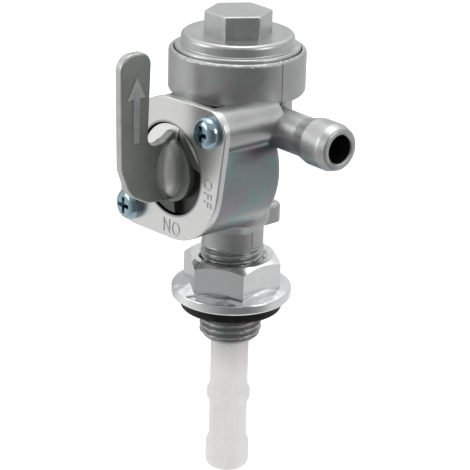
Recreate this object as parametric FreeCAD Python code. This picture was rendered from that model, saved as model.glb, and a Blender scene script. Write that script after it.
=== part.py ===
"""Petrol tap for a small generator or pump tank, drawn with its filter cap up and its standpipe down.

The threaded stem goes down through the tank's bung, and the flange nut pulls the rubber washer
against the tank. Fuel comes up through the standpipe and the stem to a port behind the lever's
rotor. The rubber packing seals the rotor, whose slot joins the lower port to the upper one when
the lever points up. From there a drilling leads to the filter chamber under the cap, and the
strainer and the outlet spigot take the fuel out to the hose.

Frame: origin on the thread axis in the plane where the rubber washer meets the tank, +Z up the
thread axis to the cap, +X along the outlet spigot, -Y out of the lever's plate. Millimetres.
"""
import FreeCAD, Part
import math
import os

V = FreeCAD.Vector
UP = V(0, 0, 1)
ALONG = V(1, 0, 0)
BACK = V(0, 1, 0)

# Fits and small gaps
running = 0.05
seal_gap = 0.03
side_gap = 0.25
press_gap = 0.02

# Threaded stem and neck
thread_d = 14.0
thread_bottom = -7.2
thread_top = 17.2
thread_chamfer = 1.2
neck_d = 13.8
inlet_bore_d = 6.1
inlet_past_port = 2.35
undercut_d = 12.6
undercut_top = 0.85
undercut_bottom = -0.05

# Rubber washer and flange nut
washer_band = 4.45
washer_thickness = 3.0
washer_edge = 0.7
nut_flange_d = 27.0
nut_rim = 2.1
nut_rim_edge = 0.4
nut_hex = 19.6
nut_height = 9.6
nut_cone_rise = 1.35
nut_dish = 0.5
nut_top_d = 18.6
nut_corner_drop = 1.2
nut_bore_chamfer = 0.9
nut_hex_turn = 32.7

# Standpipe, pressed into the stem
pipe_d = 8.66
pipe_bottom = -40.2
pipe_seat = 9.0
bead_d = 10.0
bead_top = -19.4
bead_length = 4.8
end_bead_length = 7.7
bead_slope = 1.6
pipe_edge = 1.5

# Filter chamber ring and column
ring_lip = 1.35
ring_sink = 1.15
ring_height = 9.5
ring_edge = 0.85
ring_fillet = 0.8
column_d = 24.4
column_length = 4.8
column_draw = 6.5
column_waist_d = 17.2
column_foot_rise = 1.05
column_foot_d = 16.0
neck_flare = 2.2
chamber_floor_wall = 1.2
cap_recess_depth = 0.9
seal_land_depth = 1.5

# Filter cap
cap_thread_d = 24.0
cap_flange_step = 1.55
cap_flange_rise = 1.2
cap_disc_step = 1.25
cap_disc_height = 2.1
cap_hex = 13.0
cap_hex_height = 4.8
cap_hex_turn = -2.2
cap_hex_rounding = 0.17
cap_hex_chamfer = 0.75
cap_hex_chamfer_drop = 0.4
cap_plug_length = 5.0
cap_wall = 2.3
cap_crown = 1.8
cap_seal_section = 1.44

# Strainer
strainer_d = 8.4
strainer_foot_d = 9.4
strainer_foot = 1.1
strainer_height = 7.6
strainer_throat_d = 5.2
strainer_wall = 0.9
strainer_ribs = 6
strainer_window = 2.6

# Drum that holds the rotor
neck_rise = 3.35
drum_wall = 3.2
drum_face = -16.7
drum_back = -0.6
drum_edge = 0.6
drum_bore_d = 25.0
packing_space = 2.6
port_d = 3.0
port_circle_r = 5.6
chamber_drilling_depth = 3.1

# Retainer plate and its screws
plate_thickness = 1.5
plate_overhang = 0.1
plate_lobe_r = 4.75
screw_outset = 1.686
screw_angle = 41.853
plate_ledge = 2.3
stop_hub_gap = 0.4
stop_half_width = 3.5
stop_half_angle = 34.0
plate_edge = 0.35
screw_d = 4.0
screw_length = 9.0
screw_hole_spare = 1.0
screw_head_d = 7.0
screw_head_height = 2.6
screw_recess_width = 1.0
screw_recess_length = 3.9
screw_recess_depth = 1.5
upper_boss_step = 1.0
lower_boss_floor = 2.2
boss_play = 0.15
boss_fillet = 1.2

# Rotor and lever
rotor_thickness = 3.0
wave_space = 0.9
wave_thickness = 0.3
wave_band = 1.65
rotor_seal_section = 1.48
rotor_boss_gap = 0.4
rotor_boss_height = 1.9
hub_d = 14.0
hub_height = 2.7
lever_travel = 90.0
stop_play = 1.0
fin_thickness = 2.3
fin_width = 7.3
finger_gap = 6.7
fin_reach = 27.25
fin_valley_rise = 6.55
fin_hub_rise = 8.6
fin_heel_rise = 0.45
fin_shin_rise = 2.5
fin_shin_step = 2.6
fin_slant_rise = 6.0
fin_edge = 0.55
dome_x = 4.9
dome_y = 4.3
dome_z = 6.9
slot_width = 3.0
slot_depth = 1.3
packing_holes = 4

# Outlet spigot
spigot_drop = 4.9
spigot_end = 33.0
spigot_root_d = 9.5
spigot_root_flare = 1.6
spigot_neck_d = 8.7
spigot_bulge_d = 10.3
spigot_lip_d = 8.9
spigot_bulge_start = 23.2
spigot_ramp = 3.0
spigot_land = 4.8
spigot_bore_d = 6.1
spigot_mouth = 0.35

# Rear lug
lug_back = 12.7
lug_width = 5.6
lug_drop = 3.3
lug_height = 4.4

# Radii and levels that follow from the sizes above
thread_r = thread_d / 2
drum_bore_r = drum_bore_d / 2
drum_r = drum_bore_r + drum_wall
drum_z = thread_top + neck_rise + drum_r
ring_bottom = drum_z + drum_r - ring_sink
ring_top = ring_bottom + ring_height
column_bottom = ring_bottom - column_length
column_waist = column_bottom - column_draw
column_foot = drum_z - drum_r + column_foot_rise
chamber_floor = ring_bottom + chamber_floor_wall
spigot_z = ring_bottom - spigot_drop
inlet_bore_top = drum_z - port_circle_r + inlet_past_port
lug_bottom = column_foot - lug_drop
lug_top = lug_bottom + lug_height
cap_flange_top = ring_top + cap_flange_rise
cap_disc_top = cap_flange_top + cap_disc_height
washer_d = thread_d + 2 * washer_band
cap_flange_d = cap_thread_d + 2 * cap_flange_step
cap_disc_d = cap_flange_d - 2 * cap_disc_step
ring_d = cap_flange_d + 2 * ring_lip
pipe_r = pipe_d / 2
ring_r = ring_d / 2
column_r = column_d / 2
recess_r = cap_flange_d / 2 + side_gap
cap_bore_r = cap_thread_d / 2 + running
cap_seat = ring_top - cap_recess_depth
land = cap_seat - seal_land_depth
plate_face = drum_face - plate_thickness
rotor_front = drum_face + wave_space
rotor_back = rotor_front + rotor_thickness
drum_floor = rotor_back + packing_space
chamber_drilling_y = drum_floor + chamber_drilling_depth
window_r = drum_bore_r - plate_ledge
rotor_boss_r = window_r - rotor_boss_gap
fin_inner_y = plate_face - finger_gap
fin_outer_y = fin_inner_y - fin_width
fin_top = drum_z + fin_reach
fin_valley = drum_z + fin_valley_rise
screw_circle_r = drum_r + screw_outset
screw_x = screw_circle_r * math.cos(math.radians(screw_angle))
screw_z = screw_circle_r * math.sin(math.radians(screw_angle))
screw_hole_end = plate_face + screw_length + screw_hole_spare
screw_places = [(screw_x, drum_z + screw_z), (-screw_x, drum_z - screw_z)]
boss_backs = [drum_back - upper_boss_step, screw_hole_end + lower_boss_floor]


def polar(radius, degrees):
    """A point at a radius and an angle in a drawing plane."""
    turn = math.radians(degrees)
    return (radius * math.cos(turn), radius * math.sin(turn))


def upright(a, b):
    """Drawing plane through the thread axis: a is the radius, b the height."""
    return V(a, 0, b)


def along_spigot(a, b):
    """Drawing plane through the spigot's axis: a runs along it, b is the radius."""
    return V(a, 0, spigot_z + b)


def through_drum(a, b):
    """Drawing plane through the drum's axis: a is the radius, b the place along Y."""
    return V(a, b, drum_z)


def fin_plane(a, b):
    """Drawing plane of the lever's fin: a runs along Y, b is the height."""
    return V(0, a, b)


def facing(y):
    """Drawing plane square to the drum's axis at y: a runs along X, b is the height over its axis."""
    def place(a, b):
        return V(a, y, drum_z + b)
    return place


def outline(points, place):
    """Closed outline through (a, b, corner radius) points, each corner rounded by a tangent arc."""
    flat = [V(p[0], p[1], 0) for p in points]
    radii = [p[2] if len(p) > 2 else 0.0 for p in points]
    ends = []
    for i, corner in enumerate(flat):
        before = (flat[i - 1] - corner).normalize()
        after = (flat[(i + 1) % len(flat)] - corner).normalize()
        half = before.getAngle(after) / 2
        if radii[i] <= 0:
            ends.append((corner, None, corner))
            continue
        reach = radii[i] / math.tan(half)
        middle = (before + after).normalize()
        centre = corner + middle * (radii[i] / math.sin(half))
        ends.append((corner + before * reach, centre - middle * radii[i], corner + after * reach))
    edges = []
    for i, (start, crown, end) in enumerate(ends):
        if crown is not None:
            arc = Part.Arc(place(start.x, start.y), place(crown.x, crown.y), place(end.x, end.y))
            edges.append(arc.toShape())
        following = ends[(i + 1) % len(ends)][0]
        if (following - end).Length > 1e-6:
            edges.append(Part.makeLine(place(end.x, end.y), place(following.x, following.y)))
    return Part.Wire(edges)


def turned(points, place=upright, centre=V(0, 0, 0), axis=UP):
    """Solid turned from a closed outline about an axis."""
    return Part.Face(outline(points, place)).revolve(centre, axis, 360)


def drum_turned(points):
    """Solid turned about the drum's axis."""
    return turned(points, through_drum, V(0, 0, drum_z), BACK)


def belt(circles, place):
    """Outline of a belt stretched round circles (a, b, radius), taken anticlockwise."""
    lines = []
    for i, (a, b, r) in enumerate(circles):
        c, d, s = circles[(i + 1) % len(circles)]
        run = V(c - a, d - b, 0)
        lean = math.asin((r - s) / run.Length)
        along = run.normalize()
        side = V(along.y, -along.x, 0)
        outward = along * math.sin(lean) + side * math.cos(lean)
        lines.append((V(a, b, 0) + outward * r, V(c, d, 0) + outward * s, outward))
    edges = []
    for i, (a, b, r) in enumerate(circles):
        came, left = lines[i - 1][2], lines[i][2]
        first = math.atan2(came.y, came.x)
        sweep = (math.atan2(left.y, left.x) - first) % (2 * math.pi)
        crown = V(a, b, 0) + V(math.cos(first + sweep / 2), math.sin(first + sweep / 2), 0) * r
        start, end = lines[i - 1][1], lines[i][0]
        edges.append(Part.Arc(place(start.x, start.y), place(crown.x, crown.y), place(end.x, end.y)).toShape())
        edges.append(Part.makeLine(place(end.x, end.y), place(lines[i][1].x, lines[i][1].y)))
    return Part.Wire(edges)


def rod(radius, start, end):
    """Plain round rod between two points."""
    run = end - start
    return Part.makeCylinder(radius, run.Length, start, run)


def pad(wire, depth, direction):
    """Solid pushed from a flat outline."""
    return Part.Face(wire).extrude(direction * depth)


def hexagon(across_flats, z, height, turn):
    """Upright hexagonal prism."""
    corner_r = across_flats / math.sqrt(3)
    corners = [polar(corner_r, turn + 60 * k) for k in range(6)]
    loop = [V(x, y, z) for x, y in corners]
    return pad(Part.makePolygon(loop + loop[:1]), height, UP)


def o_ring(mean_r, section, centre, axis):
    """Round-section ring."""
    return Part.makeTorus(mean_r, section / 2, centre, axis)


def save(node, shape):
    """Write one piece."""
    shape = shape.removeSplitter()
    shape.exportStep("parts/" + node + ".step")
    print(node, round(shape.Volume, 1), len(shape.Solids), shape.isValid())


def stem_and_neck():
    """Threaded stem with a chamfered end, and the neck above it."""
    neck_r = neck_d / 2
    return turned([
        (0, thread_bottom), (thread_r - thread_chamfer, thread_bottom),
        (thread_r, thread_bottom + thread_chamfer), (thread_r, undercut_bottom),
        (undercut_d / 2, undercut_bottom), (undercut_d / 2, undercut_top), (thread_r, undercut_top),
        (thread_r, thread_top - 0.6),
        (neck_r, thread_top), (neck_r, column_foot), (0, column_foot),
    ])


def chamber_casting():
    """Ring round the filter chamber, on a column that draws in below the spigot, down to the neck."""
    neck_r = neck_d / 2
    foot_r = column_foot_d / 2
    ring = turned([
        (0, ring_bottom), (ring_r, ring_bottom, 1.0), (ring_r, ring_top, ring_edge),
        (recess_r, ring_top, 0.15), (recess_r, ring_top - 1.5), (0, ring_top - 1.5),
    ])
    fillet_r = column_r + ring_fillet
    column = turned([
        (0, column_foot - neck_flare), (neck_r, column_foot - neck_flare), (foot_r, column_foot, 1.5),
        (column_waist_d / 2, column_waist, 3.0), (column_r, column_bottom, 2.5), (column_r, ring_bottom, ring_fillet),
        (fillet_r + 0.01, ring_bottom), (fillet_r + 0.01, ring_bottom + 0.5), (0, ring_bottom + 0.5),
    ])
    return ring.fuse(column)


def drum_casting():
    """Drum across the front, with a screw boss at two corners that is blended into its side."""
    drum = rod(drum_r, V(0, drum_face, drum_z), V(0, drum_back - drum_edge, drum_z))
    boss_r = plate_lobe_r - boss_play
    for (x, z), back in zip(screw_places, boss_backs):
        drum = drum.fuse(rod(boss_r, V(x, drum_face, z), V(x, back, z)))
    creases = []
    for edge in drum.Edges:
        where = edge.CenterOfMass
        reach = min(math.hypot(where.x - x, where.z - z) for x, z in screw_places)
        on_drum = abs(math.hypot(where.x, where.z - drum_z) - drum_r) < 0.01
        if on_drum and abs(reach - boss_r) < 0.01 and edge.BoundBox.YLength > 1:
            creases.append(edge)
    drum = drum.makeFillet(boss_fillet, creases)
    return drum.fuse(drum_turned([
        (0, drum_face), (drum_r, drum_face), (drum_r, drum_back, drum_edge), (0, drum_back),
    ]))


def spigot_casting():
    """Outlet spigot: a tapered neck, a smooth bulge that grips the hose, and a rounded lip."""
    crest = spigot_bulge_start + spigot_ramp
    return turned([
        (0, 0), (0, spigot_root_d / 2), (column_r, spigot_root_d / 2),
        (column_r + spigot_root_flare, spigot_neck_d / 2, 3.0),
        (spigot_bulge_start, spigot_neck_d / 2, 4.0), (crest, spigot_bulge_d / 2, 2.0),
        (crest + spigot_land, spigot_bulge_d / 2, 1.8), (spigot_end, spigot_lip_d / 2, 0.7), (spigot_end, 0),
    ], along_spigot, V(0, 0, spigot_z), ALONG)


def rear_lug():
    """Short rounded lug behind the neck."""
    half = lug_width / 2
    height = lug_top - lug_bottom
    block = pad(outline([
        (-half, 0), (half, 0), (half, lug_back, half - 0.6), (-half, lug_back, half - 0.6),
    ], lambda a, b: V(a, b, lug_bottom)), height, UP)
    crown = [e for e in block.Edges if e.BoundBox.ZMin > lug_top - 0.01 and e.BoundBox.YMax > 0.01]
    return block.makeFillet(0.9, crown)


def chamber_cavities():
    """Recess for the cap's flange, land for its ring, thread bore, and the strainer's seat."""
    seat_r = strainer_foot_d / 2 + side_gap
    cavity = turned([
        (0, chamber_floor - strainer_foot), (seat_r, chamber_floor - strainer_foot),
        (seat_r, chamber_floor), (cap_bore_r, chamber_floor), (cap_bore_r, land),
        (recess_r, land), (recess_r, ring_top + 1), (0, ring_top + 1),
    ])
    outlet_rise = rod(2.5, V(0, 0, spigot_z), V(0, 0, chamber_floor))
    return cavity.fuse(outlet_rise)


def drum_cavities():
    """Rotor bore, screw holes, and the ports behind the packing."""
    bore = rod(drum_bore_r, V(0, drum_face - 1, drum_z), V(0, drum_floor, drum_z))
    low, high = drum_z - port_circle_r, drum_z + port_circle_r
    port_r = port_d / 2
    bore = bore.fuse(rod(port_r, V(0, drum_floor - 1, low), V(0, 0, low)))
    bore = bore.fuse(rod(port_r, V(0, drum_floor - 1, high), V(0, chamber_drilling_y, high)))
    bore = bore.fuse(rod(port_r, V(0, chamber_drilling_y, high), V(0, chamber_drilling_y, chamber_floor)))
    for x, z in screw_places:
        bore = bore.fuse(rod(screw_d / 2 + running, V(x, drum_face - 1, z), V(x, screw_hole_end, z)))
    return bore


def stem_cavities():
    """Bore up the stem, widened at its foot for the standpipe."""
    bore = rod(inlet_bore_d / 2, V(0, 0, thread_bottom), V(0, 0, inlet_bore_top))
    return bore.fuse(rod(pipe_r + press_gap, V(0, 0, thread_bottom - 1), V(0, 0, thread_bottom + pipe_seat)))


def spigot_cavities():
    """Bore along the spigot with a broken edge at its mouth."""
    bore_r = spigot_bore_d / 2
    return turned([
        (-1, 0), (-1, bore_r), (spigot_end - spigot_mouth, bore_r),
        (spigot_end + spigot_mouth, bore_r + 2 * spigot_mouth), (spigot_end + spigot_mouth, 0),
    ], along_spigot, V(0, 0, spigot_z), ALONG)


def valve_body():
    """The one zinc casting."""
    body = stem_and_neck()
    for piece in (chamber_casting(), drum_casting(), spigot_casting(), rear_lug()):
        body = body.fuse(piece)
    for hollow in (chamber_cavities(), drum_cavities(), stem_cavities(), spigot_cavities()):
        body = body.cut(hollow)
    return body


def filter_cap():
    """Turned cap: hexagon, stepped disc, flange in the ring's recess, and a hollow threaded plug."""
    plug_r = cap_thread_d / 2
    plug_end = cap_seat - cap_plug_length
    hollow_r = plug_r - cap_wall
    flange_r = cap_flange_d / 2
    disc_r = cap_disc_d / 2
    cap = turned([
        (0, plug_end), (plug_r - 0.6, plug_end), (plug_r, plug_end + 0.6),
        (plug_r, cap_seat), (flange_r, cap_seat), (flange_r, cap_flange_top, 0.7),
        (disc_r, cap_flange_top, 0.3), (disc_r, cap_disc_top, 0.8), (0, cap_disc_top),
    ])
    hexagon_top = cap_disc_top + cap_hex_height
    corner_r = cap_hex / math.sqrt(3)
    chamfer = turned([
        (0, cap_disc_top - 1), (corner_r - cap_hex_rounding, cap_disc_top - 1),
        (corner_r - cap_hex_rounding, hexagon_top - cap_hex_chamfer_drop),
        (corner_r - cap_hex_chamfer, hexagon_top), (0, hexagon_top),
    ])
    head = hexagon(cap_hex, cap_disc_top - 1, cap_hex_height + 1, cap_hex_turn).common(chamfer)
    hollow = turned([
        (0, plug_end - 1), (hollow_r, plug_end - 1), (hollow_r, cap_disc_top - cap_crown, 0.8),
        (0, cap_disc_top - cap_crown),
    ])
    return cap.fuse(head).cut(hollow)


def strainer():
    """Moulded strainer cup: a foot ring, a windowed wall, and a closed top."""
    foot_z = chamber_floor - strainer_foot + seal_gap
    outer_r = strainer_d / 2
    inner_r = outer_r - strainer_wall
    throat_r = strainer_throat_d / 2
    top = foot_z + strainer_height
    cup = turned([
        (throat_r, foot_z), (strainer_foot_d / 2, foot_z), (strainer_foot_d / 2, foot_z + strainer_foot),
        (outer_r, foot_z + strainer_foot, 0.3), (outer_r, top, 0.6), (0, top),
        (0, top - strainer_wall), (inner_r, top - strainer_wall), (inner_r, foot_z + strainer_foot),
        (throat_r, foot_z + strainer_foot),
    ])
    windows = 360 / strainer_ribs
    low = foot_z + strainer_foot + 0.5
    for k in range(strainer_ribs):
        slot = Part.makeBox(outer_r, strainer_window, top - 1.6 - low, V(2.0, -strainer_window / 2, low))
        cup = cup.cut(slot.rotate(V(0, 0, 0), UP, windows * (k + 0.5)))
    return cup


def stop_tongue():
    """Part of the plate that reaches into its window between the rotor's two stops."""
    stop_reach = hub_d / 2 + stop_hub_gap
    chord = [(stop_reach, -stop_half_width), (stop_reach, stop_half_width)]
    wide = polar(window_r + 1.0, stop_half_angle)
    loop = [chord[0], chord[1], wide, (wide[0], -wide[1])]
    turned_loop = []
    for a, b in loop:
        radius = math.hypot(a, b)
        turned_loop.append(polar(radius, math.degrees(math.atan2(b, a)) + screw_angle))
    corner = [(turned_loop[0][0], turned_loop[0][1], 0.4), (turned_loop[1][0], turned_loop[1][1], 0.4)]
    return corner + turned_loop[2:]


def retainer_plate():
    """Pressed plate: round with two screw lobes, and a window with the stop tongue."""
    main = (0, 0, drum_r + plate_overhang)
    lobes = [(screw_x, screw_z, plate_lobe_r), (-screw_x, -screw_z, plate_lobe_r)]
    blank = pad(belt([lobes[0], main, lobes[1], main], facing(plate_face)), plate_thickness, BACK)
    front = [e for e in blank.Edges if e.BoundBox.YMax < plate_face + 0.01]
    blank = blank.makeFillet(plate_edge, front)
    window = rod(window_r, V(0, plate_face - 1, drum_z), V(0, drum_face + 1, drum_z))
    tongue = pad(outline(stop_tongue(), facing(plate_face - 1)), plate_thickness + 2, BACK)
    plate = blank.cut(window.cut(tongue))
    for x, z in screw_places:
        plate = plate.cut(rod(screw_d / 2 + side_gap, V(x, plate_face - 1, z), V(x, drum_face + 1, z)))
    return plate


def plate_screw(x, z):
    """Pan-head screw with a cross recess."""
    head_r = screw_head_d / 2
    crown = plate_face - screw_head_height
    shank_r = screw_d / 2
    tip = plate_face + screw_length
    screw = turned([
        (0, crown), (head_r, crown, 1.7), (head_r, plate_face, 0.2), (shank_r, plate_face),
        (shank_r, tip - 0.6), (shank_r - 0.6, tip), (0, tip),
    ], lambda a, b: V(x + a, b, z), V(x, 0, z), BACK)
    half_width = screw_recess_width / 2
    half_length = screw_recess_length / 2
    floor = crown + screw_recess_depth
    for across in (False, True):
        wide, tall = (half_width, half_length) if across else (half_length, half_width)
        mouth = [V(x + a, crown - 0.1, z + b) for a, b in ((-wide, -tall), (wide, -tall), (wide, tall), (-wide, tall))]
        foot = [V(x + 0.55 * (p.x - x), floor, z + 0.55 * (p.z - z)) for p in mouth]
        loops = [Part.makePolygon(mouth + mouth[:1]), Part.makePolygon(foot + foot[:1])]
        screw = screw.cut(Part.makeLoft(loops, True))
    return screw


def wave_curve(radius, y):
    """Closed curve of three waves round the drum's axis."""
    points = []
    height = (wave_space - wave_thickness) / 2 - 2 * seal_gap
    for k in range(36):
        turn = 2 * math.pi * k / 36
        lift = height * math.cos(3 * turn)
        points.append(V(radius * math.cos(turn), y + lift, drum_z + radius * math.sin(turn)))
    curve = Part.BSplineCurve()
    curve.interpolate(points, True)
    return curve.toShape()


def wave_washer():
    """Three-wave spring washer between the plate and the rotor."""
    outer_r = drum_bore_r - side_gap
    inner_r = outer_r - wave_band
    middle = (drum_face + rotor_front) / 2
    levels = [middle - wave_thickness / 2, middle + wave_thickness / 2]
    inner = [wave_curve(inner_r, y) for y in levels]
    outer = [wave_curve(outer_r, y) for y in levels]
    faces = [Part.makeRuledSurface(inner[k], outer[k]) for k in (0, 1)]
    faces += [Part.makeRuledSurface(edge[0], edge[1]) for edge in (inner, outer)]
    return Part.Solid(Part.Shell(faces))


def fin():
    """Upright finger of the lever, whose plane holds the rotor's axis."""
    hub_top = drum_z + fin_hub_rise
    hub_bottom = drum_z - hub_d / 2 + 0.4
    heel = hub_bottom + fin_heel_rise
    shin = heel + fin_shin_rise
    profile = outline([
        (rotor_front + 1, hub_top), (plate_face - 0.2, hub_top, 0.6), (plate_face - 2.9, fin_valley + 0.2, 2.0),
        (fin_inner_y - 0.1, fin_valley, 1.9), (fin_inner_y + 0.7, fin_top, 2.8),
        (fin_outer_y - 0.1, fin_top, 3.4), (fin_outer_y + 0.3, shin + fin_slant_rise, 6.5),
        (fin_outer_y + fin_shin_step, shin, 5.0), (fin_inner_y - 0.1, heel, 5.0),
        (plate_face - 1.0, hub_bottom), (rotor_front + 1, hub_bottom),
    ], fin_plane)
    blade = pad(profile, fin_thickness, ALONG)
    blade.translate(V(-fin_thickness / 2, 0, 0))
    rim = [e for e in blade.Edges if e.BoundBox.XLength < 1e-3 and e.BoundBox.YMax < plate_face - 0.5]
    return blade.makeFillet(fin_edge, rim)


def hub_dome():
    """Low dome that swells the hub on both sides of the fin."""
    ball = Part.makeSphere(1.0)
    stretch = FreeCAD.Matrix()
    stretch.scale(dome_x, dome_y, dome_z)
    dome = ball.transformGeometry(stretch)
    dome.translate(V(0, plate_face + 0.6, drum_z + 0.5))
    corner = V(-dome_x - 1, plate_face + 0.4 - dome_y - 1, drum_z - dome_z - 1)
    keep = Part.makeBox(2 * dome_x + 2, dome_y + 1, 2 * dome_z + 3, corner)
    return dome.common(keep)


def stop_boss():
    """Raised sector on the rotor that meets the plate's tongue at both ends of its travel."""
    start = screw_angle + stop_half_angle + stop_play
    end = 360 + screw_angle - stop_half_angle - lever_travel - stop_play
    first, last = polar(rotor_boss_r, start), polar(rotor_boss_r, end)
    crown = polar(rotor_boss_r, (start + end) / 2)
    place = facing(rotor_front - rotor_boss_height)
    arc = Part.Arc(place(*first), place(*crown), place(*last)).toShape()
    sides = [Part.makeLine(place(*last), place(0, 0)), Part.makeLine(place(0, 0), place(*first))]
    return pad(Part.Wire([arc] + sides), rotor_boss_height + 0.5, BACK)


def lever():
    """Cast lever: rotor disc with its ring groove and slot, hub, stop sector, dome and fin."""
    disc_r = drum_bore_r - 0.4
    groove_r = drum_bore_r - rotor_seal_section - 2 * seal_gap
    middle = (rotor_front + rotor_back) / 2
    half = rotor_seal_section / 2 + seal_gap
    piece = drum_turned([
        (0, rotor_front), (disc_r, rotor_front), (disc_r, middle - half), (groove_r, middle - half),
        (groove_r, middle + half), (disc_r, middle + half), (disc_r, rotor_back), (0, rotor_back),
    ])
    hub = rod(hub_d / 2, V(0, rotor_front - hub_height, drum_z), V(0, rotor_front + 0.5, drum_z))
    for more in (hub, stop_boss(), hub_dome(), fin()):
        piece = piece.fuse(more)
    reach = port_circle_r
    slot_ends = [(0, reach, slot_width / 2), (0, -reach, slot_width / 2)]
    slot = pad(belt(slot_ends, facing(rotor_back - slot_depth)), slot_depth + 1, BACK)
    return piece.cut(slot)


def valve_packing():
    """Rubber disc with four holes behind the rotor."""
    disc_r = drum_bore_r - side_gap
    start, end = rotor_back + seal_gap, drum_floor - seal_gap
    disc = rod(disc_r, V(0, start, drum_z), V(0, end, drum_z))
    for k in range(packing_holes):
        x, z = polar(port_circle_r, 90 + 360 / packing_holes * k)
        disc = disc.cut(rod(port_d / 2, V(x, start - 1, drum_z + z), V(x, end + 1, drum_z + z)))
    return disc


def flange_nut():
    """Hexagon nut on a wide flange whose top face falls away from the hexagon."""
    flange_r = nut_flange_d / 2
    bottom = washer_thickness
    rim_top = bottom + nut_rim
    hex_r = nut_hex / 2
    flange = turned([
        (0, bottom), (flange_r, bottom, nut_rim_edge), (flange_r, rim_top, nut_rim_edge),
        (hex_r + 0.6, rim_top + nut_cone_rise - nut_dish, 3.0), (hex_r - 1.5, rim_top + 2 * nut_cone_rise),
        (0, rim_top + 2 * nut_cone_rise),
    ])
    top = bottom + nut_height
    corner_r = nut_hex / math.sqrt(3)
    chamfer = turned([
        (0, bottom), (corner_r + 1, bottom), (corner_r + 1, top - nut_corner_drop),
        (corner_r, top - nut_corner_drop), (nut_top_d / 2, top), (0, top),
    ])
    prism = hexagon(nut_hex, bottom + 0.5, nut_height - 0.5, nut_hex_turn).common(chamfer)
    bore_r = thread_r + running
    bore = turned([
        (0, bottom - 1), (bore_r + nut_bore_chamfer + 1, bottom - 1), (bore_r, bottom + nut_bore_chamfer),
        (bore_r, top - nut_bore_chamfer), (bore_r + nut_bore_chamfer + 1, top + 1), (0, top + 1),
    ])
    return flange.fuse(prism).cut(bore)


def sealing_washer():
    """Flat rubber washer under the nut."""
    outer_r = washer_d / 2
    inner_r = thread_r + running
    return turned([
        (inner_r, 0), (outer_r, 0, washer_edge), (outer_r, washer_thickness, washer_edge),
        (inner_r, washer_thickness),
    ])


def standpipe():
    """Nylon standpipe with a grip bead and a longer rounded end bead."""
    bead_r = bead_d / 2
    bore_r = inlet_bore_d / 2
    top = thread_bottom + pipe_seat
    bead_end = bead_top - bead_length
    end_start = pipe_bottom + end_bead_length
    return turned([
        (bore_r, top), (pipe_r, top, 0.4), (pipe_r, bead_top, 1.5),
        (bead_r, bead_top - bead_slope, 1.4), (bead_r, bead_end + bead_slope, 1.4), (pipe_r, bead_end, 1.5),
        (pipe_r, end_start, 1.5), (bead_r, end_start - bead_slope, 1.4), (bead_r, pipe_bottom, pipe_edge),
        (bore_r, pipe_bottom, 0.5),
    ])


os.makedirs("parts", exist_ok=True)

seal_r = (cap_bore_r + recess_r) / 2
rotor_seal_r = drum_bore_r - rotor_seal_section / 2 - seal_gap

save("valve_body", valve_body())
save("filter_cap", filter_cap())
save("cap_seal", o_ring(seal_r, cap_seal_section, V(0, 0, (land + cap_seat) / 2), UP))
save("strainer", strainer())
save("lever", lever())
save("rotor_seal", o_ring(rotor_seal_r, rotor_seal_section, V(0, (rotor_front + rotor_back) / 2, drum_z), BACK))
save("valve_packing", valve_packing())
save("wave_washer", wave_washer())
save("retainer_plate", retainer_plate())
save("plate_screw_upper", plate_screw(*screw_places[0]))
save("plate_screw_lower", plate_screw(*screw_places[1]))
save("flange_nut", flange_nut())
save("sealing_washer", sealing_washer())
save("standpipe", standpipe())
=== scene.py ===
"""Studio picture of the fuel tap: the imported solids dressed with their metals, rubber and nylon.

Pieces made here are the stem's thread, the cast body's copy with its stem cut down to the thread's
root, the plate's copy with its stamped words, the cap's copy with its thread and soft edges, the arrow
on the lever and the casting's parting lines.
"""
import bmesh
import bpy
import numpy as np
from mathutils import Matrix, Vector


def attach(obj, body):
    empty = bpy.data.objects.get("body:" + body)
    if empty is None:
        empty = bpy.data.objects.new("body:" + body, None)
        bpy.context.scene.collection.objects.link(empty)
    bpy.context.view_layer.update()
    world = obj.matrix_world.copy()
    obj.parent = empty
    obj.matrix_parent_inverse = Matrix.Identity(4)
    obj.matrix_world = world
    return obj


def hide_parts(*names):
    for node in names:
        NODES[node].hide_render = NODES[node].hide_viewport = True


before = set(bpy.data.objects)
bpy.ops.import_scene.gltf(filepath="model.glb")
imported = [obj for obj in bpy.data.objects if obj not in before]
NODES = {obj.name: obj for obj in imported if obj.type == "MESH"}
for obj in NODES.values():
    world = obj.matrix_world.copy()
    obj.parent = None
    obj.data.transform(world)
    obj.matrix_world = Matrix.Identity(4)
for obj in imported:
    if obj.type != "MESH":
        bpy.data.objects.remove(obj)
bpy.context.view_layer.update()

MM = 0.001

# Sizes repeated from the solids, in millimetres
THREAD_R = 7.0
THREAD_ROOT_R = 6.08
THREAD_LEAD = 1.5
THREAD_LOW = -7.2
THREAD_HIGH = 15.7
THREAD_CHAMFER = 1.2
STEM_END = 16.7
STEM_SKIN = (5.2, 7.2)
NECK_R = 6.9
NECK_LOW = 15.9
NECK_HIGH = 20.6
RING_R = 14.9
RING_LOW = 50.8
RING_HIGH = 60.3
SPIGOT_Z = 45.9
SPIGOT_BORE_R = 3.05
SPIGOT_RAMP = (22.5, 26.8)
SPIGOT_RAMP_R = (4.0, 6.0)
PLATE_FACE = -18.2
DRUM_Z = 36.25
FIN_HALF = 1.15
ROTOR_BOSS_FACE = -17.7
DOME_MIDDLE = (0.0, PLATE_FACE, DRUM_Z + 0.5)
DOME_HALVES = (4.9, 4.3, 6.9)

# A thread's profile: its root's floor and its flank, as shares of half the lead
THREAD_FLOOR = 0.16
THREAD_FLANK = 0.66

# The mould's parting lines: the plane they lie in and their bead's half width
PARTING_Y = -0.2
PARTING_HALF = 0.13

# Words stamped in the plate: word, place along X, height, turn in degrees, letter height and word length
STAMPS = (("ON", 0.9, 23.2, 180.0, 3.3, 5.6), ("OFF", 12.7, 34.4, 90.0, 2.7, 6.4))
STAMP_DEPTH = 0.13
STROKE_GROW = 0.02
LETTER_SPACE = 1.15

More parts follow.
